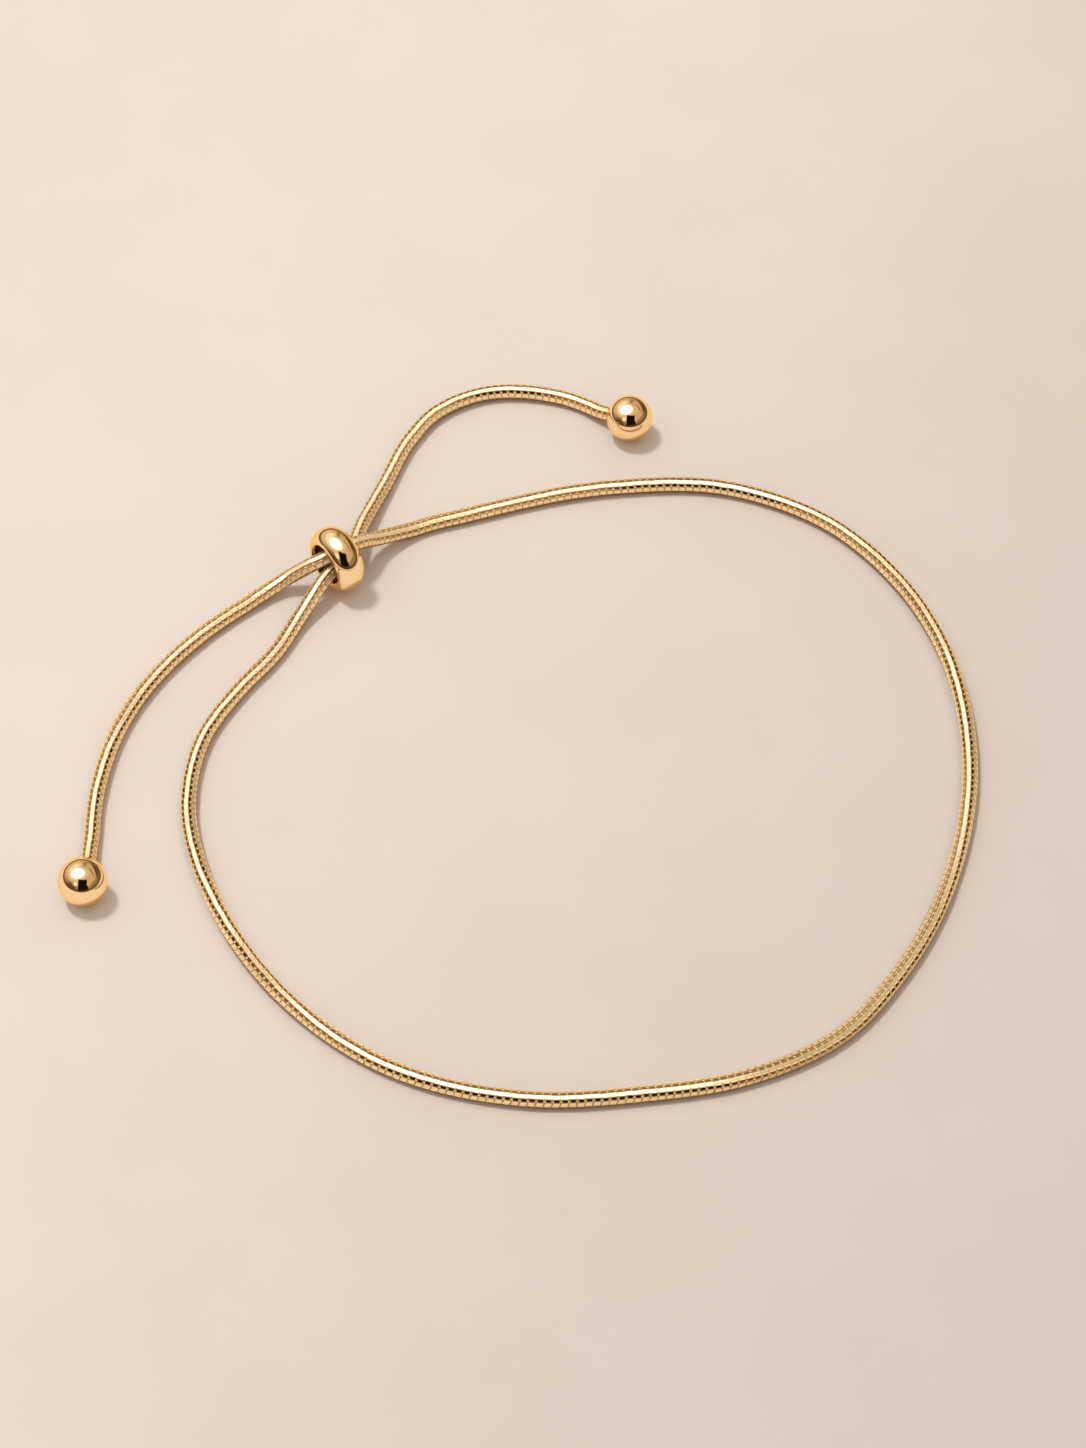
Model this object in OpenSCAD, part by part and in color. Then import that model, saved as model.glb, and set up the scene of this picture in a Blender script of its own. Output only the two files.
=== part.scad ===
// Adjustable snake chain bracelet.
// One round snake chain makes the wrist loop and the two free tails. Both of its strands
// run through a slider bead, and each of its ends is set in a ball.
// Millimetres, Z up. The table top is the plane z = 0, and the origin is on it, under the
// middle of the bracelet's box.

/* [Snake chain] */
// Outer diameter of the round chain
chain_d = 1.3; // [1:0.1:1.3]
// Flat sides drawn round the chain
chain_sides = 8; // [6:1:12]
// Usual distance between two rings of the drawn chain
ring_step = 3.7; // [2:0.1:6]

/* [Slider bead] */
// Largest diameter of the bead
bead_d = 5.8; // [5.6:0.1:6.4]
// Length of the bead along its bore
bead_len = 2.6; // [2.4:0.1:3]
// Diameter of the bore that both strands run through
bead_bore_d = 3.4; // [3.3:0.05:3.5]
// Radius of the rounded lip at both ends of the bore
bead_lip_r = 0.35; // [0.3:0.05:0.5]
// Turn of the bore about the vertical, from the X axis
bead_turn = 36; // [28:1:44]

/* [End balls] */
// Diameter of both balls
ball_d = 4; // [3.6:0.1:4.4]
// Diameter of the blind socket that holds the chain's end
socket_d = 1.5; // [1.4:0.05:1.7]
// Distance from a ball's centre to the floor of its socket
socket_floor = 0.6; // [0:0.1:0.6]
// Fall of the socket's axis towards its mouth, below level
socket_tilt = 20; // [15:1:25]
// Turn of the left ball's socket about the vertical, from the X axis
left_ball_turn = 86; // [80:1:92]
// Turn of the right ball's socket about the vertical, from the X axis
right_ball_turn = 143; // [138:1:148]

/* [Hidden] */
$fn = 96;

gold = [0.86, 0.66, 0.32];
chain_r = chain_d / 2;
// How far the cut of a socket runs out past the ball's surface
overrun = 1;

// Middles of the bead and of the balls. Each of them stands on the table.
bead_at = [-16, 16.5, bead_d / 2];
left_ball_at = [-35.5, -18.2, ball_d / 2];
right_ball_at = [8.9, 34.1, ball_d / 2];

// How far from a ball's centre the chain ends, leaves the ball, and starts to bend
chain_end_depth = 0.8;
chain_bend_start = 3;

// Height of the chain's middle where it lies on the table
lying = chain_r;

// The chain's route as columns of x, y and z, from the left tail through the bead, round
// the wrist loop, through the bead again and out along the right tail. The first strand
// crosses over the second one inside the bead.
ROUTE = [
    [-35.2, -13.2, lying],
    [-35, -7.5, lying],
    [-33, 1, lying],
    [-28, 9, lying],
    [-24, 13, lying],
    [-20.5, 15.6, 1.2],
    [-17.3, 16.2, 3.1],
    [-15.1, 17.2, 3.65],
    [-12.7, 19.9, 1.8],
    [-9.4, 22.2, lying],
    [-5, 23.8, lying],
    [7, 27, lying],
    [17, 27, lying],
    [25.5, 23, lying],
    [31.5, 16, lying],
    [35, 8, lying],
    [36.5, -3, lying],
    [35, -14, lying],
    [30, -26, lying],
    [24.5, -33, lying],
    [17, -37, lying],
    [9.5, -38.5, lying],
    [0, -39, lying],
    [-9.5, -36.5, lying],
    [-19, -29, lying],
    [-25, -19, lying],
    [-27.5, -8, lying],
    [-26.5, -1.5, lying],
    [-24, 3.4, lying],
    [-21, 7.8, lying],
    [-19, 11.8, 0.9],
    [-16.8, 15.3, 2],
    [-15.3, 17.4, 2.1],
    [-14, 22.2, 1.1],
    [-12.2, 27.4, lying],
    [-10.2, 32.7, lying],
    [-8, 36, lying],
    [-3.5, 38.5, lying],
    [1, 38.5, lying],
    [4.8, 37.2, lying]
];

// Direction from a ball's centre out through its socket
function socket_axis(turn) = [
    cos(socket_tilt) * cos(turn),
    cos(socket_tilt) * sin(turn),
    -sin(socket_tilt)
];

// The straight start of the chain at a ball, from inside its socket outwards
function straight_end(centre, turn) = [
    centre + chain_end_depth * socket_axis(turn),
    centre + ball_d / 2 * socket_axis(turn),
    centre + chain_bend_start * socket_axis(turn)
];

function reversed(list) = [for (i = [len(list) - 1:-1:0]) list[i]];

whole_route = concat(
    straight_end(left_ball_at, left_ball_turn),
    ROUTE,
    reversed(straight_end(right_ball_at, right_ball_turn))
);

function unit(v) = v / norm(v);
function chord(p, i) = norm(p[i + 1] - p[i]);
function heading(p, i) = unit(p[i + 1] - p[i]);

// Direction of the smooth curve at one of its points, where the shorter chord counts more
function tangent(p, i) =
    i == 0 ? heading(p, 0) :
    i == len(p) - 1 ? heading(p, i - 1) :
    (heading(p, i - 1) * chord(p, i) + heading(p, i) * chord(p, i - 1))
        / (chord(p, i) + chord(p, i - 1));

// Point at share t of the stretch after point i, as a cubic with those directions
function curve_point(p, i, t) =
    p[i] * (2 * pow(t, 3) - 3 * pow(t, 2) + 1)
    + p[i + 1] * (3 * pow(t, 2) - 2 * pow(t, 3))
    + tangent(p, i) * chord(p, i) * (pow(t, 3) - 2 * pow(t, 2) + t)
    + tangent(p, i + 1) * chord(p, i) * (pow(t, 3) - pow(t, 2));

// The table holds the chain up, so the curve's middle never comes nearer to it than this
function on_table(q) = [q[0], q[1], max(q[2], chain_r)];

function rings_after(p, i) = max(1, round(chord(p, i) / ring_step));

function curve(p) = [
    for (i = [0:len(p) - 2])
        for (k = [0:rings_after(p, i) - 1])
            on_table(curve_point(p, i, k / rings_after(p, i))),
    p[len(p) - 1]
];

// Direction of the drawn chain at ring i, along the line between its neighbours
function along(c, i) = unit(c[min(i + 1, len(c) - 1)] - c[max(i - 1, 0)]);

// Corners of ring i, one of them straight below the chain's middle
function ring(c, i) =
    let (
        side = unit(cross(along(c, i), [0, 0, 1])),
        up = cross(side, along(c, i))
    )
    [
        for (k = [0:chain_sides - 1])
            let (turn = 360 * k / chain_sides - 90)
            c[i] + chain_r * (cos(turn) * side + sin(turn) * up)
    ];

// The chain's body: a closed skin through all the rings, with a flat cap at each end
module swept_chain(c) {
    last = len(c) - 1;
    corners = [for (i = [0:last]) each ring(c, i)];
    walls = [
        for (i = [0:last - 1])
            for (k = [0:chain_sides - 1])
                let (
                    next = (k + 1) % chain_sides,
                    a = i * chain_sides + k,
                    b = i * chain_sides + next,
                    far_a = a + chain_sides,
                    far_b = b + chain_sides
                )
                each [[a, far_b, far_a], [a, b, far_b]]
    ];
    start_cap = [for (k = [chain_sides - 1:-1:0]) k];
    end_cap = [for (k = [0:chain_sides - 1]) last * chain_sides + k];
    polyhedron(points = corners, faces = concat(walls, [start_cap, end_cap]));
}

// Places of the bead's lip arcs: distance from the bore's axis, and along the bore
lip_out = bead_bore_d / 2 + bead_lip_r;
lip_along = bead_len / 2 - bead_lip_r;
// Radius of the bead's crown, the arc that runs smoothly into both lips
crown_drop = bead_d / 2 - lip_out;
crown_r = (pow(lip_along, 2) + pow(crown_drop, 2) - pow(bead_lip_r, 2))
    / (2 * (crown_drop - bead_lip_r));
crown_out = bead_d / 2 - crown_r;
// Point where the crown runs into a lip
crown_half_angle = asin(lip_along / (crown_r - bead_lip_r));
meet_out = crown_out + crown_r * cos(crown_half_angle);
meet_along = crown_r * sin(crown_half_angle);

// Half of a cut through the bead, with the bore's axis as the Y axis
module bead_section() {
    intersection() {
        translate([crown_out, 0])
            circle(r = crown_r);
        translate([meet_out, -crown_r])
            square([crown_r, 2 * crown_r]);
    }
    polygon([
        [bead_bore_d / 2, -lip_along],
        [meet_out, -meet_along],
        [meet_out, meet_along],
        [bead_bore_d / 2, lip_along]
    ]);
    translate([lip_out, lip_along])
        circle(r = bead_lip_r);
    translate([lip_out, -lip_along])
        circle(r = bead_lip_r);
}

// A plain ball with a round blind socket for the end of the chain
module end_ball(centre, turn) {
    color(gold)
        translate(centre)
            difference() {
                sphere(d = ball_d);
                rotate([0, 90 + socket_tilt, turn])
                    translate([0, 0, socket_floor])
                        cylinder(d = socket_d, h = ball_d / 2 - socket_floor + overrun);
            }
}

module snake_chain() {
    color(gold)
        swept_chain(curve(whole_route));
}

module slider_bead() {
    color(gold)
        translate(bead_at)
            rotate([0, 90, bead_turn])
                rotate_extrude()
                    bead_section();
}

module end_ball_left() {
    end_ball(left_ball_at, left_ball_turn);
}

module end_ball_right() {
    end_ball(right_ball_at, right_ball_turn);
}

snake_chain();
slider_bead();
end_ball_left();
end_ball_right();
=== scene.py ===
import math
import random

import bpy
import numpy as np
from mathutils import Matrix, Vector

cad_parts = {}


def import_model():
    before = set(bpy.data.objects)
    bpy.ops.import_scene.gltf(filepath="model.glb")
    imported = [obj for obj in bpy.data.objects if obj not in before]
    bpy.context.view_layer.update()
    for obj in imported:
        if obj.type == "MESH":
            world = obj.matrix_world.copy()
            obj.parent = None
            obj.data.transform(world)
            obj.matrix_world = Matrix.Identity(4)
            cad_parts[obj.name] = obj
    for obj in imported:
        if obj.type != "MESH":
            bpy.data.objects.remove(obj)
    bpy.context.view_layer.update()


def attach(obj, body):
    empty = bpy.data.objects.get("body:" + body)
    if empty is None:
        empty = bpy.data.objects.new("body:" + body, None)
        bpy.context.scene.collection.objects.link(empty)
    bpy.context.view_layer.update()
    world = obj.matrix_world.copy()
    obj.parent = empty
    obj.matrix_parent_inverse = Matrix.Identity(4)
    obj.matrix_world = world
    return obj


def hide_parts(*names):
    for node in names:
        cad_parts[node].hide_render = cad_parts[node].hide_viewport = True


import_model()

# Metres. The origin is on the table top, under the middle of the bracelet's box.
MM = 0.001

# The round chain, and the height of its middle where it lies on the table
CHAIN_R = 0.65 * MM
LYING = CHAIN_R
CURVE_STEP = 0.05 * MM

# The links. Each has six faces, which are arcs of a larger radius than the chain's own, and a
# crease between every two faces.
LINK_PITCH = 0.63 * MM
LINK_FACES = 6
FACE_STEPS = 5
FACE_R = 2.0 * MM
FACE_OUT = 0.620 * MM
CREASE_HALF = math.radians(11.5)
# The power of a crease's painted shade at its edges, where a faint crease fades sooner
CREASE_FADE = 1.6
# How much lower the creases are at the ends of a link than in its middle
CORNER_DROP = 0.012 * MM
# Farther out than this is a link's skin, and nearer is its neck and the inside of its skirt
SKIN_R = 0.60 * MM

# How deep the seams between the links are on each face and in the creases, and how dark
# their painted shade is. The second face is the smooth one on top.
FACE_SEAMS = (0.75, 0.08, 0.9, 1.0, 1.0, 0.9)
CREASE_SEAM = 0.25
SEAM_SHADE = 0.75
# How far a seam swings along the chain on its way round it
SEAM_WAVE = 0.10 * MM

# What differs by chance from link to link: its turn in degrees, how far it leans, and the
# least share of their painted shade that its creases and its seams keep
TURN_JITTER = 1.5
MOST_LEAN = 0.008 * MM
LEAST_CREASE = 0.95
LEAST_SEAM = 0.7

# The upward part of a face's direction where the painted shade on its underside starts, and
# how much farther down it is full
UNDER_SHADE_START = -0.22
UNDER_SHADE_DEPTH = 0.28

# The slider bead and the balls, as in the solids
BEAD_D = 5.8 * MM
BEAD_LEN = 2.6 * MM
BEAD_BORE_D = 3.4 * MM
BEAD_LIP_R = 0.35 * MM
BEAD_TURN = math.radians(36)
BEAD_AT = Vector((-0.016, 0.0165, BEAD_D / 2))
BALL_D = 4 * MM
SOCKET_D = 1.38 * MM
SOCKET_FLOOR = 0.6 * MM
SOCKET_EDGE = 0.05 * MM
SOCKET_TILT = math.radians(20)
LEFT_BALL_AT = Vector((-0.0355, -0.0182, BALL_D / 2))
LEFT_BALL_TURN = math.radians(86)
RIGHT_BALL_AT = Vector((0.0089, 0.0341, BALL_D / 2))
RIGHT_BALL_TURN = math.radians(143)
CHAIN_END_DEPTH = 0.8 * MM
CHAIN_BEND_START = 3 * MM

# The chain's route from the left tail through the bead, round the wrist loop, through the
# bead again and out along the right tail
ROUTE = [
    (-0.0352, -0.0132, LYING),
    (-0.0350, -0.0075, LYING),
    (-0.0330, 0.0010, LYING),
    (-0.0280, 0.0090, LYING),
    (-0.0240, 0.0130, LYING),
    (-0.0205, 0.0156, 0.0012),
    (-0.0173, 0.0162, 0.0031),
    (-0.0151, 0.0172, 0.00365),
    (-0.0127, 0.0199, 0.0018),
    (-0.0094, 0.0222, LYING),
    (-0.0050, 0.0238, LYING),
    (0.0070, 0.0270, LYING),
    (0.0170, 0.0270, LYING),
    (0.0255, 0.0230, LYING),
    (0.0315, 0.0160, LYING),
    (0.0350, 0.0080, LYING),
    (0.0365, -0.0030, LYING),
    (0.0350, -0.0140, LYING),
    (0.0300, -0.0260, LYING),
    (0.0245, -0.0330, LYING),
    (0.0170, -0.0370, LYING),
    (0.0095, -0.0385, LYING),
    (0.0000, -0.0390, LYING),
    (-0.0095, -0.0365, LYING),
    (-0.0190, -0.0290, LYING),
    (-0.0250, -0.0190, LYING),
    (-0.0275, -0.0080, LYING),
    (-0.0265, -0.0015, LYING),
    (-0.0240, 0.0034, LYING),
    (-0.0210, 0.0078, LYING),
    (-0.0190, 0.0118, 0.0009),
    (-0.0168, 0.0153, 0.0020),
    (-0.0153, 0.0174, 0.0021),
    (-0.0140, 0.0222, 0.0011),
    (-0.0122, 0.0274, LYING),
    (-0.0102, 0.0327, LYING),
    (-0.0080, 0.0360, LYING),
    (-0.0035, 0.0385, LYING),
    (0.0010, 0.0385, LYING),
    (0.0048, 0.0372, LYING),
]

# Distance along the chain in millimetres, the turn of the crease before the smooth face in
# degrees, from the chain's right-hand side upwards, and how dark the painted shade in the creases
# before and after that face is: brown up to 0.85, black at 1
TWIST = [
    # along, turn, crease before, crease after
    (0, 68, 0.85, 0.80),
    (8, 67, 0.95, 0.85),
    (14, 58, 0.95, 0.70),
    (18, 43, 0.95, 0.60),
    (26, 47, 0.90, 0.55),
    (34, 34, 0.75, 0.45),
    (40, 50, 0.65, 0.55),
    (50, 30, 0.70, 0.50),
    (54, 31, 0.85, 0.45),
    (60, 36, 0.70, 0.60),
    (69, 36, 0.75, 0.75),
    (71, 36, 1.00, 0.80),
    (84, 38, 1.00, 0.80),
    (87, 44, 0.85, 0.90),
    (94, 49, 0.80, 0.95),
    (102, 57, 0.90, 0.95),
    (106, 56, 0.90, 0.95),
    (112, 44, 0.95, 0.95),
    (118, 41, 0.95, 0.95),
    (122, 46, 0.70, 0.95),
    (130, 66, 0.50, 0.95),
    (137, 84, 0.60, 0.95),
    (146, 86, 0.50, 0.95),
    (152, 95, 0.60, 0.90),
    (156, 96, 0.80, 0.85),
    (160, 90, 0.80, 0.95),
    (163, 85, 0.80, 1.00),
    (168, 80, 0.75, 1.00),
    (186, 79, 0.80, 1.00),
    (190, 83, 0.80, 0.95),
    (194, 82, 0.80, 0.85),
    (202, 57, 0.90, 0.95),
    (206, 59, 0.90, 0.95),
    (214, 82, 0.95, 0.95),
    (219, 79, 0.95, 0.95),
    (224, 71, 0.95, 0.95),
    (230, 58, 0.95, 0.70),
    (238, 42, 0.75, 0.70),
    (242, 47, 0.75, 0.80),
    (248, 60, 0.75, 0.65),
    (258, 69, 0.80, 0.75),
    (266, 58, 0.60, 0.75),
    (272, 50, 0.55, 0.90),
    (276, 45, 1.00, 0.80),
    (281, 42, 1.00, 0.65),
    (284, 41, 0.85, 0.60),
    (290, 40, 0.90, 0.60),
]
# How dark the painted shade in the other creases is, all along the chain
OTHER_CREASE_SHADE = 0.80

# A link cut along the chain, in millimetres: how far along it, how far out, and how dark its
# painted shade is on the faces and in the creases. The skirt goes over the neck of the next link.
LINK_SECTION = [
    # along, out, dark seam, dark crease
    (-0.140, 0.520, 1.0, 1.0),
    (0.004, 0.614, 1.0, 0.0),
    (0.012, 0.634, 1.0, 0.2),
    (0.034, 0.645, 0.7, 0.2),
    (0.090, 0.6485, 0.0, 0.4),
    (0.130, 0.6495, 0.0, 1.0),
    (0.315, 0.6500, 0.0, 1.0),
    (0.500, 0.6495, 0.0, 1.0),
    (0.540, 0.6485, 0.0, 0.4),
    (0.596, 0.645, 0.7, 0.2),
    (0.614, 0.634, 1.0, 0.2),
    (0.620, 0.614, 1.0, 0.0),
    (0.590, 0.560, 1.0, 1.0),
    (-0.140, 0.470, 1.0, 1.0),
]

# The chain's pieces, as shares of its length
CUTS = [
    # name, start, end
    ("chain_left_tail", 0, 0.15),
    ("chain_loop_right", 0.15, 0.39),
    ("chain_loop_front", 0.39, 0.62),
    ("chain_loop_left", 0.62, 0.86),
    ("chain_right_tail", 0.86, 1),
]


def mesh_object(name, vertices, faces, material):
    """A smooth-shaded mesh in the scene."""
    mesh = bpy.data.meshes.new(name)
    mesh.from_pydata(vertices, [], faces)
    mesh.polygons.foreach_set("use_smooth", [True] * len(mesh.polygons))
    mesh.materials.append(material)
    mesh.update()
    piece = bpy.data.objects.new(name, mesh)
    bpy.context.collection.objects.link(piece)
    return piece


def socket_axis(turn):
    """Direction from a ball's centre out through its socket."""
    level = math.cos(SOCKET_TILT)
    return Vector((level * math.cos(turn), level * math.sin(turn), -math.sin(SOCKET_TILT)))


def straight_end(centre, turn):
    """The straight start of the chain at a ball, from inside its socket outwards."""
    steps = (CHAIN_END_DEPTH, BALL_D / 2, CHAIN_BEND_START)
    return [centre + step * socket_axis(turn) for step in steps]


def curve_samples(points, step):
    """Points along the smooth curve through the route, about a step apart."""
    p = np.array(points, dtype=float)
    chord = np.linalg.norm(np.diff(p, axis=0), axis=1)
    heading = np.diff(p, axis=0) / chord[:, None]
    tangent = np.vstack([heading[:1], heading])
    inner = heading[:-1] * chord[1:, None] + heading[1:] * chord[:-1, None]
    tangent[1:-1] = inner / (chord[1:] + chord[:-1])[:, None]
    samples = []
    for i, length in enumerate(chord):
        t = np.arange(0, 1, 1 / max(1, round(length / step)))[:, None]
        samples.append(
            p[i] * (2 * t**3 - 3 * t**2 + 1)
            + p[i + 1] * (3 * t**2 - 2 * t**3)
            + tangent[i] * length * (t**3 - 2 * t**2 + t)
            + tangent[i + 1] * length * (t**3 - t**2)
        )
    samples.append(p[-1:])
    samples = np.vstack(samples)
    # The table holds the chain up
    samples[:, 2] = np.maximum(samples[:, 2], CHAIN_R)
    return samples


class Chain:
    """The chain's middle line with a level side and an upward direction at each place."""

    def __init__(self):
        route = straight_end(LEFT_BALL_AT, LEFT_BALL_TURN)
        route += [Vector(p) for p in ROUTE]
        route += reversed(straight_end(RIGHT_BALL_AT, RIGHT_BALL_TURN))
        self.points = curve_samples(route, CURVE_STEP)
        steps = np.linalg.norm(np.diff(self.points, axis=0), axis=1)
        self.at = np.concatenate([[0], np.cumsum(steps)])
        self.length = self.at[-1]
        self.links = round(self.length / LINK_PITCH)
        along = np.gradient(self.points, axis=0)
        along /= np.linalg.norm(along, axis=1)[:, None]
        side = np.cross(along, (0, 0, 1))
        self.side = side / np.linalg.norm(side, axis=1)[:, None]
        self.up = np.cross(self.side, along)

    def place(self, s, table):
        """The table's value at distance s along the chain."""
        return np.stack([np.interp(s, self.at, table[:, k]) for k in range(3)], axis=-1)


def face_profile():
    """Angles round a link from a face's middle, how far out its skin is, and the creases.

    The last list is 0 on a face, 1 in the middle of a crease and more at its two edges, where
    the painted shade of a faint crease fades sooner.
    """
    half = math.pi / LINK_FACES
    back = FACE_R - FACE_OUT
    # The angle where a face's arc reaches the chain's full radius
    edge = math.acos((FACE_R**2 - CHAIN_R**2 - back**2) / (2 * CHAIN_R * back))
    sides = []
    for k in range(FACE_STEPS):
        turn = edge * (2 * k / (FACE_STEPS - 1) - 1)
        out = math.sqrt(FACE_R**2 - (back * math.sin(turn)) ** 2) - back * math.cos(turn)
        sides.append((turn, min(out, CHAIN_R), 0.0))
    sides.append((half - CREASE_HALF, CHAIN_R, CREASE_FADE))
    sides.append((half, CHAIN_R, 1.0))
    sides.append((half + CREASE_HALF, CHAIN_R, CREASE_FADE))
    face_turns = [2 * half * face for face in range(LINK_FACES)]
    angles = [face_turn + turn for face_turn in face_turns for turn, _, _ in sides]
    _, outs, creases = np.array(sides * LINK_FACES).T
    return np.array(angles), outs, creases


class Link:
    """The form that all the links share, as rows along the chain with a point on every side."""

    def __init__(self):
        along, outwards, seam, creased = np.array(LINK_SECTION).T[:, :, None]
        self.angles, outs, self.creases = face_profile()
        self.in_crease = self.creases > 0
        self.along = along * MM
        self.rows, self.sides = len(along), len(self.angles)
        outwards = outwards * MM
        face_seams = np.repeat(FACE_SEAMS, self.sides // LINK_FACES)
        seams = np.where(self.in_crease, CREASE_SEAM, face_seams)
        # How much of its depth below the chain's radius each point of the skin keeps
        kept = np.where(outwards > SKIN_R, np.maximum(seams, CREASE_SEAM), 1)
        # 0 in the middle of the link and 1 at both ends
        reach = np.minimum(np.abs(self.along / LINK_PITCH * 2 - 1), 1)
        self.radius = (CHAIN_R - (CHAIN_R - outwards) * kept) * outs / CHAIN_R
        self.radius -= CORNER_DROP * self.in_crease * reach**2
        self.creased = np.where(self.in_crease, creased, 0)
        self.dark = np.where(self.in_crease, 0, seam * seams * SEAM_SHADE)
        self.worn = np.where(self.in_crease, 1 - self.creased, 0)

    def set_on(self, chain, number):
        """One link's points, how far along the chain they are, the painted shade in its creases and
        seams, and how far it is in the painted shade of the underside.
        """
        rng = random.Random(number)
        start = chain.length * number / chain.links
        places, turns, before, after = np.array(TWIST, dtype=float).T
        crease_turn, before, after = (
            np.interp(start / MM, places, column) for column in (turns, before, after)
        )
        crease_turn += rng.uniform(-TURN_JITTER, TURN_JITTER)
        turn = math.radians(crease_turn - 180 / LINK_FACES)
        theta = self.angles + turn
        lean = rng.uniform(0, 2 * math.pi)
        wobble = rng.uniform(0, MOST_LEAN)
        wave = SEAM_WAVE * np.cos(2 * self.angles) + wobble * np.cos(theta - lean)
        stretch = chain.length / chain.links / LINK_PITCH
        s = start + self.along * stretch + wave
        side = chain.place(s, chain.side)
        up = chain.place(s, chain.up)
        out = np.cos(theta)[:, None] * side + np.sin(theta)[:, None] * up
        points = chain.place(s, chain.points) + self.radius[..., None] * out
        depths = [before, after] + [OTHER_CREASE_SHADE] * (LINK_FACES - 2)
        depth = np.repeat(depths, self.sides // LINK_FACES) * rng.uniform(LEAST_CREASE, 1.0)
        dark = self.dark * rng.uniform(LEAST_SEAM, 1.0)
        # Painted shade in the creases and in the seams between the links
        shade = np.where(self.in_crease, self.creased * depth**self.creases, dark)
        # Painted shade on the underside, which faces the shadowed table
        under = np.clip((UNDER_SHADE_START - out[..., 2]) / UNDER_SHADE_DEPTH, 0, 1)
        return points, s, shade, under


def ring_faces(links, rows, sides):
    """Corners of the faces of so many closed links, each with its points row by row."""
    link, row, side = np.meshgrid(range(links), range(rows), range(sides), indexing="ij")
    here = (link * rows + row) * sides
    ahead = (link * rows + (row + 1) % rows) * sides
    beside = (side + 1) % sides
    faces = np.stack([here + side, ahead + side, ahead + beside, here + beside], axis=-1)
    return faces.reshape(-1, 4)


def ring_places(s, sides):
    """The same corners as distances along the chain in millimetres and shares of the turn."""
    ring = np.arange(sides)
    ahead = np.roll(s, -1, axis=1)
    along = np.stack([s, ahead, np.roll(ahead, -1, axis=2), np.roll(s, -1, axis=2)], axis=-1)
    turned = np.stack([ring, ring, ring + 1, ring + 1], axis=-1) / sides
    return np.stack([along / MM, np.broadcast_to(turned, along.shape)], axis=-1)


def chain_piece(name, chain, first, last, material):
    """Links first to last of the chain, as one mesh."""
    link = Link()
    placed = [link.set_on(chain, number) for number in range(first, last)]
    points, s, shade, under = (np.stack(values) for values in zip(*placed))
    faces = ring_faces(last - first, link.rows, link.sides)
    piece = mesh_object(name, points.reshape(-1, 3).tolist(), faces.tolist(), material)
    worn = np.broadcast_to(link.worn, s.shape)
    # The mesh carries the painted shade of creases and seams, the rougher share of the creases, and
    # the painted shade of the underside
    for label, values in (("crease", shade), ("worn", worn), ("under", under)):
        layer = piece.data.attributes.new(label, "FLOAT", "POINT")
        layer.data.foreach_set("value", values.reshape(-1))
    spread = piece.data.uv_layers.new(name="along")
    spread.data.foreach_set("uv", ring_places(s, link.sides).reshape(-1))
    return piece


def lathe(name, outline, sides, material):
    """A solid turned about the Z axis from points (radius, height). Points on the axis are poles."""
    vertices = []
    rings = []
    for radius, height in outline:
        if radius == 0:
            rings.append([len(vertices)])
            vertices.append((0, 0, height))
            continue
        rings.append(list(range(len(vertices), len(vertices) + sides)))
        for k in range(sides):
            turn = 2 * math.pi * k / sides
            vertices.append((radius * math.cos(turn), radius * math.sin(turn), height))
    faces = []
    closed = len(rings[0]) > 1
    for a, b in zip(rings, rings[1:] + rings[:1] if closed else rings[1:]):
        for k in range(sides):
            n = (k + 1) % sides
            if len(a) == 1:
                faces.append((a[0], b[n], b[k]))
            elif len(b) == 1:
                faces.append((a[k], a[n], b[0]))
            else:
                faces.append((a[k], a[n], b[n], b[k]))
    return mesh_object(name, vertices, faces, material)


def arc(centre, radius, start, end, steps):
    """Points on an arc, with its angles in radians counted from the first axis."""
    angles = [start + (end - start) * k / steps for k in range(steps + 1)]
    return [(centre[0] + radius * math.cos(a), centre[1] + radius * math.sin(a)) for a in angles]


def ball_piece(name, centre, turn, material):
    """A ball with a blind socket, turned about the socket's axis."""
    r = BALL_D / 2
    wall = SOCKET_D / 2
    # The edge's small arc touches the sphere inside and the socket's wall
    edge_out = wall + SOCKET_EDGE
    edge_high = math.sqrt((r - SOCKET_EDGE) ** 2 - edge_out**2)
    mouth = math.atan2(edge_high, edge_out)
    outline = [(0, -r)]
    outline += arc((0, 0), r, -math.pi / 2, mouth, 72)[1:]
    outline += arc((edge_out, edge_high), SOCKET_EDGE, mouth, math.pi, 8)[1:]
    outline += [(wall, SOCKET_FLOOR), (0, SOCKET_FLOOR)]
    piece = lathe(name, outline, 96, material)
    turned = socket_axis(turn).to_track_quat("Z", "Y").to_matrix().to_4x4()
    piece.data.transform(Matrix.Translation(centre) @ turned)
    return piece


def bead_piece(name, material):
    """The crowned slider bead: a crown arc that runs into a rounded lip on each side."""
    bore_r = BEAD_BORE_D / 2
    lip_out = bore_r + BEAD_LIP_R
    lip_along = BEAD_LEN / 2 - BEAD_LIP_R
    drop = BEAD_D / 2 - lip_out
    crown_r = (lip_along**2 + drop**2 - BEAD_LIP_R**2) / (2 * (drop - BEAD_LIP_R))
    crown_out = BEAD_D / 2 - crown_r
    half = math.asin(lip_along / (crown_r - BEAD_LIP_R))
    outline = arc((lip_out, -lip_along), BEAD_LIP_R, -math.pi, -half, 22)
    outline += arc((crown_out, 0), crown_r, -half, half, 30)[1:]
    outline += arc((lip_out, lip_along), BEAD_LIP_R, half, math.pi, 22)[1:]
    steps = 6
    outline += [(bore_r, lip_along * (1 - 2 * k / steps)) for k in range(1, steps)]
    piece = lathe(name, outline, 144, material)
    turned = Matrix.Rotation(BEAD_TURN, 4, "Z") @ Matrix.Rotation(math.pi / 2, 4, "Y")
    piece.data.transform(Matrix.Translation(BEAD_AT) @ turned)
    return piece


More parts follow.
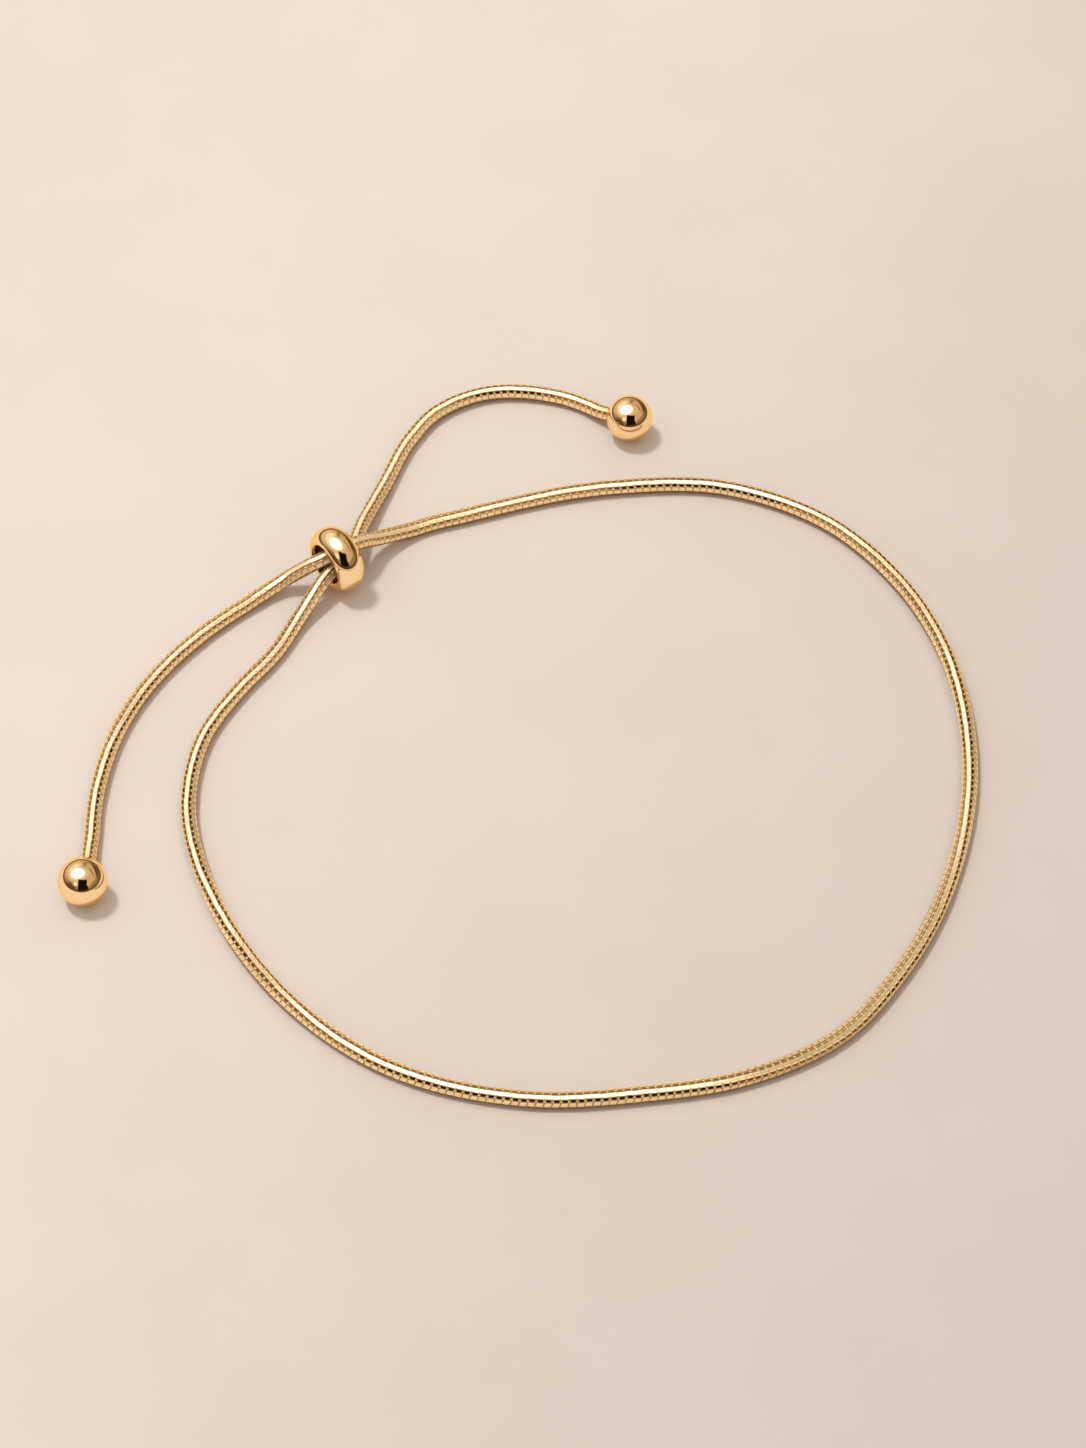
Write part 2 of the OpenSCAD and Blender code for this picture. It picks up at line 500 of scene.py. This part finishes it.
class Shader:
    """A material's or the world's node tree, with short ways to add nodes and links."""

    def __init__(self, tree):
        self.tree = tree
        self.tree.nodes.clear()

    def node(self, kind, inputs=None, **settings):
        made = self.tree.nodes.new("ShaderNode" + kind)
        for name, value in settings.items():
            setattr(made, name, value)
        for socket, value in (inputs or {}).items():
            if isinstance(value, bpy.types.NodeSocket):
                self.tree.links.new(value, made.inputs[socket])
            else:
                made.inputs[socket].default_value = value
        return made

    def maths(self, operation, *values):
        return self.node("Math", dict(enumerate(values)), operation=operation).outputs[0]

    def vectors(self, operation, *values):
        """The outputs of a vector operation: a vector first, then a number."""
        return self.node("VectorMath", dict(enumerate(values)), operation=operation).outputs

    def noise(self, where, scale, detail):
        inputs = {"Vector": where, "Scale": scale, "Detail": detail}
        return self.node("TexNoise", inputs).outputs["Fac"]

    def attribute(self, name):
        """A share that the mesh carries at its points, or 0 where it has none."""
        return self.node("Attribute", attribute_name=name).outputs["Fac"]

    def blend(self, share, low, high):
        """The colour low where share is 0 and high where it is 1."""
        return self.node("Mix", {0: share, 6: low, 7: high}, data_type="RGBA").outputs[2]

    def scaled(self, colour, factor):
        """A colour multiplied by a factor, the same in red, green and blue."""
        inputs = {0: 1.0, 6: colour, 7: (factor, factor, factor, 1)}
        return self.node("Mix", inputs, data_type="RGBA", blend_type="MULTIPLY").outputs[2]

    def ramp(self, value, low, high, to_low=0.0, to_high=1.0):
        """Value from low to high, eased into to_low to to_high."""
        inputs = {"Value": value, 1: low, 2: high, 3: to_low, 4: to_high}
        return self.node("MapRange", inputs, interpolation_type="SMOOTHSTEP").outputs[0]


# The two tints of each gold plate, and the gold towards its rims
CHAIN_TINTS = (1.0, 0.80, 0.49, 1), (0.98, 0.77, 0.45, 1)
POLISHED_TINTS = (0.87, 0.665, 0.40, 1), (0.87, 0.65, 0.38, 1)
RIM_COLOUR = (1.0, 0.76, 0.42, 1)
# Painted shade: the orange fringe of a shaded place, a crease and the deepest creases, which
# are painted black, the chain's underside, and the bead's bore
SHADE_FRINGE_COLOUR = (0.95, 0.66, 0.26, 1)
CREASE_SHADE_COLOUR = (0.21, 0.055, 0.002, 1)
DEEP_SHADE_COLOUR = (0.012, 0.005, 0.002, 1)
UNDER_SHADE_COLOUR = (0.44, 0.19, 0.02, 1)
BORE_SHADE_COLOUR = (0.17, 0.085, 0.025, 1)

# The polish of the balls and the bead
POLISH = {"rough": 0.045, "grain": 500, "bump": 0.02}
SCRATCH_DEPTH = 0.02 * MM
# The chain scatters some light from all sides, like the small edges of its links, blurs what
# it reflects along it more than across it, and is rougher at the ends of its creases
CHAIN_METAL = 0.68
CHAIN_BRUSHED = 0.92
WORN_ROUGHNESS = 0.12


class Gold(Shader):
    """Gold plate: faint clouds in its colour and gloss, and hair scratches in its relief."""

    def __init__(self, name, tints, rough, grain, bump):
        self.material = bpy.data.materials.new(name)
        self.material.use_nodes = True
        super().__init__(self.material.node_tree)
        light, deep = tints
        self.where = self.node("TexCoord").outputs["Object"]
        clouds = self.noise(self.where, grain, 4.0)
        self.tint = self.blend(self.ramp(clouds, 0.3, 0.7), deep, light)
        fine = self.noise(self.where, grain * 9, 3.0)
        self.gloss = self.ramp(fine, 0.3, 0.75, rough, rough * 1.4)
        relief = {"Strength": bump, "Distance": SCRATCH_DEPTH, "Height": fine}
        self.relief = self.node("Bump", relief).outputs[0]

    def paint_shade(self, share, colour):
        """Paints shade of another colour over the gold where share is 1."""
        self.tint = self.blend(share, self.tint, colour)

    def paint_fringed_shade(self, share, colour):
        """Painted shade with an orange fringe where share is small."""
        self.paint_shade(self.ramp(share, 0.0, 0.45), SHADE_FRINGE_COLOUR)
        self.paint_shade(share, colour)

    def finished(self, metal=1.0, **extra):
        """The material, with extra settings of its shader by the names of its sockets."""
        inputs = {"Base Color": self.tint, "Metallic": metal, "Roughness": self.gloss}
        surface = self.node("BsdfPrincipled", {**inputs, "Normal": self.relief, **extra})
        surface.inputs["Specular Tint"].default_value = RIM_COLOUR
        surface.inputs["Specular IOR Level"].default_value = 0.0
        self.node("OutputMaterial", {"Surface": surface.outputs[0]})
        return self.material


def chain_material():
    """Brushed gold with painted shade in the creases between the faces and in the seams, and on its
    browner underside.
    """
    gold = Gold("chain_gold", CHAIN_TINTS, rough=0.31, grain=900, bump=0.05)
    # Painted shade in the creases and seams, with an orange fringe
    crease = gold.attribute("crease")
    gold.paint_fringed_shade(crease, CREASE_SHADE_COLOUR)
    # Painted black in the darkest creases: painted shade, and a painted reflection of the studio's
    # dark gap
    gold.paint_shade(gold.ramp(crease, 0.86, 0.96), DEEP_SHADE_COLOUR)
    # Painted shade on the chain's underside
    gold.paint_shade(gold.attribute("under"), UNDER_SHADE_COLOUR)
    gold.gloss = gold.maths("MULTIPLY_ADD", gold.attribute("worn"), WORN_ROUGHNESS, gold.gloss)
    tangent = gold.node("Tangent", direction_type="UV_MAP", uv_map="along").outputs[0]
    return gold.finished(metal=CHAIN_METAL, Anisotropic=CHAIN_BRUSHED, Tangent=tangent)


def bead_material():
    """Polished gold with painted shade in the bore, which fades out over the lips."""
    gold = Gold("bead_gold", POLISHED_TINTS, **POLISH)
    axis = Vector((math.cos(BEAD_TURN), math.sin(BEAD_TURN), 0))
    from_middle = gold.vectors("SUBTRACT", gold.where, BEAD_AT)[0]
    across = gold.vectors("CROSS_PRODUCT", from_middle, axis)[0]
    out = gold.vectors("LENGTH", across)[1]
    bore_r = BEAD_BORE_D / 2
    # Painted shade in the bore, strongest at its wall
    bore = gold.ramp(out, bore_r + 0.04 * MM, bore_r + 0.30 * MM, 0.72, 0.0)
    gold.paint_fringed_shade(bore, BORE_SHADE_COLOUR)
    return gold.finished()


def ball_material():
    """Gold that is polished all over."""
    return Gold("ball_gold", POLISHED_TINTS, **POLISH).finished()


# The plain table's two tints, how much painted shade darkens it at the front right, and how much
# brighter the gold sees it, a painted brightening of its reflections
TABLE_TINTS = (0.79, 0.69, 0.61, 1), (0.81, 0.71, 0.63, 1)
TABLE_FALL = 0.22
TABLE_SEEN = 1.28
TABLE_HALF = 0.9


def table_material():
    """Pale stone with faint clouds. Painted shade darkens it slowly towards the front right."""
    material = bpy.data.materials.new("pale_table")
    material.use_nodes = True
    shader = Shader(material.node_tree)
    where = shader.node("TexCoord").outputs["Object"]
    clouds = shader.noise(where, 60.0, 5.0)
    tint = shader.blend(shader.ramp(clouds, 0.3, 0.7), *TABLE_TINTS)
    # Painted shade: darker towards the front right
    to_back_left = shader.vectors("DOT_PRODUCT", where, (-0.91, 0.41, 0))[1]
    share = shader.ramp(to_back_left, -0.085, 0.055)
    black = (0, 0, 0, 1)
    tint = shader.blend(share, shader.blend(TABLE_FALL, tint, black), tint)
    # Painted reflection: the gold sees the table brighter than it is
    glossy = shader.node("LightPath").outputs["Is Glossy Ray"]
    tint = shader.blend(glossy, tint, shader.scaled(tint, TABLE_SEEN))
    surface = shader.node("BsdfPrincipled", {"Base Color": tint, "Roughness": 0.85})
    surface.inputs["Specular IOR Level"].default_value = 0.15
    shader.node("OutputMaterial", {"Surface": surface.outputs[0]})
    return material


def table():
    """The plain table top, which is not attached to the bracelet's body."""
    half = TABLE_HALF
    corners = [(-half, -half, 0), (half, -half, 0), (half, half, 0), (-half, half, 0)]
    floor = mesh_object("table_top", corners, [(0, 1, 2, 3)], table_material())


# Direction to the key light, up to the left behind the bracelet
KEY = Vector((-0.34, 0.205, 1.0)).normalized()

# What the polished gold reflects, each over the ones before it: where its middle is, half
# of its width and height and its turn in degrees, how soft its edge is, and its colour
REFLECTED = [
    # name, form, azimuth, elevation, half width, half height, turn, softness, colour
    ("right panel", "box", -24, 40, 34, 20, 0, 0.15, (0.66, 0.50, 0.33)),
    ("right low", "oval", -20, 12, 44, 14, 0, 0.5, (0.30, 0.20, 0.10)),
    ("back right glow", "oval", 52, 42, 16, 18, 0, 0.5, (0.62, 0.49, 0.34)),
    ("back post", "box", 80, 38, 6, 16, 0, 0.5, (0.36, 0.26, 0.14)),
    ("right post", "box", 22, 44, 18, 4, 25, 0.8, (0.32, 0.23, 0.12)),
    ("back right corner", "oval", 36, 20, 30, 10, 0, 0.5, (0.12, 0.07, 0.03)),
    ("left wall", "oval", 180, 12, 60, 20, 0, 0.6, (0.34, 0.24, 0.12)),
    ("left front corner", "oval", -140, 10, 24, 16, 0, 0.6, (0.12, 0.07, 0.03)),
    ("back left low", "oval", 132, 22, 36, 16, 0, 0.5, (0.72, 0.57, 0.43)),
    ("back left glow", "oval", 134, 44, 26, 14, 0, 0.5, (1.0, 0.93, 0.86)),
    ("halo", "oval", 178, 66, 25, 34, 0, 0.5, (1.05, 0.97, 0.85)),
    ("softbox", "oval", 178, 75, 22, 25, 0, 0.30, (3.6, 3.4, 4.4)),
    ("small lamp", "oval", -124, 34, 9, 9, 0, 0.5, (1.2, 1.1, 0.95)),
    ("front gap", "box", -85, 28, 20, 31, -7, 0.06, (0.010, 0.005, 0.002)),
    ("front gap foot", "box", -69, 13, 10, 14, 0, 0.1, (0.010, 0.005, 0.002)),
]
LOW_WALL = (0.30, 0.21, 0.11, 1)
CEILING = (0.74, 0.59, 0.42, 1)
SKYLINE = (0.11, 0.065, 0.03, 1)
STUDIO_LIGHT = 1.14

# The soft light on everything, from the far side and from the key's side, and what the
# camera sees past the table
SOFT_FAR = (0.61, 0.51, 0.37, 1)
SOFT_NEAR = (0.81, 0.84, 0.91, 1)
BACKDROP = (0.80, 0.73, 0.65, 1)


class Sky(Shader):
    """The world's node tree, where each colour depends on the ray's direction."""

    def __init__(self, tree):
        super().__init__(tree)
        self.ray = self.node("TexCoord").outputs["Generated"]

    def along(self, axis, half_size):
        """How far the ray goes along an axis, in half sizes given in degrees."""
        scaled = axis / math.sin(math.radians(half_size))
        return self.vectors("DOT_PRODUCT", self.ray, scaled)[1]

    def patch(self, form, azimuth, elevation, half_width, half_height, turn, softness):
        """1 inside a soft-edged oval or box on the sky, and 0 outside it."""
        turned = Matrix.Rotation(math.radians(azimuth), 3, "Z")
        turned = turned @ Matrix.Rotation(math.radians(-elevation), 3, "Y")
        turned = turned @ Matrix.Rotation(math.radians(turn), 3, "X")
        across = self.along(turned @ Vector((0, 1, 0)), half_width)
        upward = self.along(turned @ Vector((0, 0, 1)), half_height)
        ahead = self.along(turned @ Vector((1, 0, 0)), 90)
        if form == "box":
            across = self.maths("ABSOLUTE", across)
            upward = self.maths("ABSOLUTE", upward)
            reach = self.maths("MAXIMUM", across, upward)
        else:
            across = self.maths("MULTIPLY", across, across)
            upward = self.maths("MULTIPLY", upward, upward)
            reach = self.maths("SQRT", self.maths("ADD", across, upward))
        inside = self.ramp(reach, 1 - softness, 1 + softness, 1.0, 0.0)
        return self.maths("MULTIPLY", inside, self.maths("GREATER_THAN", ahead, 0.0))

    def studio(self):
        """What the gold reflects: walls up to the ceiling, the patches, and a dark skyline."""
        high = self.node("SeparateXYZ", {0: self.ray}).outputs[2]
        seen = self.blend(self.ramp(high, 0.05, 0.85), LOW_WALL, CEILING)
        for _, *form_and_place, colour in REFLECTED:
            seen = self.blend(self.patch(*form_and_place), seen, (*colour, 1))
        seen = self.blend(self.ramp(high, 0.03, 0.26), SKYLINE, seen)
        return self.scaled(seen, STUDIO_LIGHT)

    def soft_light(self):
        """Soft light on all that isn't glossy, cooler and brighter from the key's side."""
        towards_key = self.maths("MAXIMUM", self.along(KEY, 90), 0.0)
        lobe = self.maths("MULTIPLY", towards_key, towards_key)
        return self.blend(lobe, SOFT_FAR, SOFT_NEAR)


def world():
    """Pale for the camera, even for soft fill, and a studio for the gold to reflect."""
    made = bpy.data.worlds.new("studio")
    bpy.context.scene.world = made
    made.use_nodes = True
    made.cycles.sampling_method = "NONE"
    sky = Sky(made.node_tree)
    rays = sky.node("LightPath").outputs
    fill = sky.blend(rays["Is Glossy Ray"], sky.soft_light(), sky.studio())
    colour = sky.blend(rays["Is Camera Ray"], fill, BACKDROP)
    background = sky.node("Background", {"Color": colour, "Strength": 1.0})
    sky.node("OutputWorld", {"Surface": background.outputs[0]})


def key_light():
    """The sun-like key, up to the left behind the bracelet, which throws the soft shadows."""
    light = bpy.data.lights.new("key", "SUN")
    light.energy = 1.38
    light.angle = math.radians(9)
    light.color = (0.94, 0.98, 1.0)
    lamp = bpy.data.objects.new("key", light)
    lamp.location = KEY * 0.7
    lamp.rotation_mode = "QUATERNION"
    lamp.rotation_quaternion = KEY.to_track_quat("Z", "Y")
    lamp.visible_glossy = False
    bpy.context.collection.objects.link(lamp)


def camera():
    """A long lens, 48.5 degrees down on the bracelet."""
    down = math.radians(48.5)
    focal_pixels, image_height = 5200, 1448
    data = bpy.data.cameras.new("camera")
    data.sensor_fit = "AUTO"
    data.sensor_width = 36
    data.lens = data.sensor_width * focal_pixels / image_height
    data.clip_start = 0.01
    data.clip_end = 10
    eye = bpy.data.objects.new("camera", data)
    eye.location = (0.0014, -0.2848, 0.3224)
    eye.rotation_euler = (math.pi / 2 - down, 0, 0)
    bpy.context.collection.objects.link(eye)
    bpy.context.scene.camera = eye


def snake_chain():
    """The chain in pieces that meet end to end."""
    chain = Chain()
    material = chain_material()
    for name, start, end in CUTS:
        first, last = round(start * chain.links), round(end * chain.links)
        piece = chain_piece(name, chain, first, last, material)
        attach(piece, "root")
        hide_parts("snake_chain")


def end_balls():
    """The balls on the ends of both tails."""
    material = ball_material()
    balls = {
        "end_ball_left": ("ball_left", LEFT_BALL_AT, LEFT_BALL_TURN),
        "end_ball_right": ("ball_right", RIGHT_BALL_AT, RIGHT_BALL_TURN),
    }
    for node, (name, centre, turn) in balls.items():
        piece = ball_piece(name, centre, turn, material)
        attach(piece, "root")
        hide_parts(node)


def slider_bead():
    """The ring bead that both strands run through."""
    bead = bead_piece("slider_ring", bead_material())
    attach(bead, "root")
    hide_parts("slider_bead")


camera()
world()
key_light()
table()
snake_chain()
end_balls()
slider_bead()
bpy.context.scene.view_settings.view_transform = "Standard"
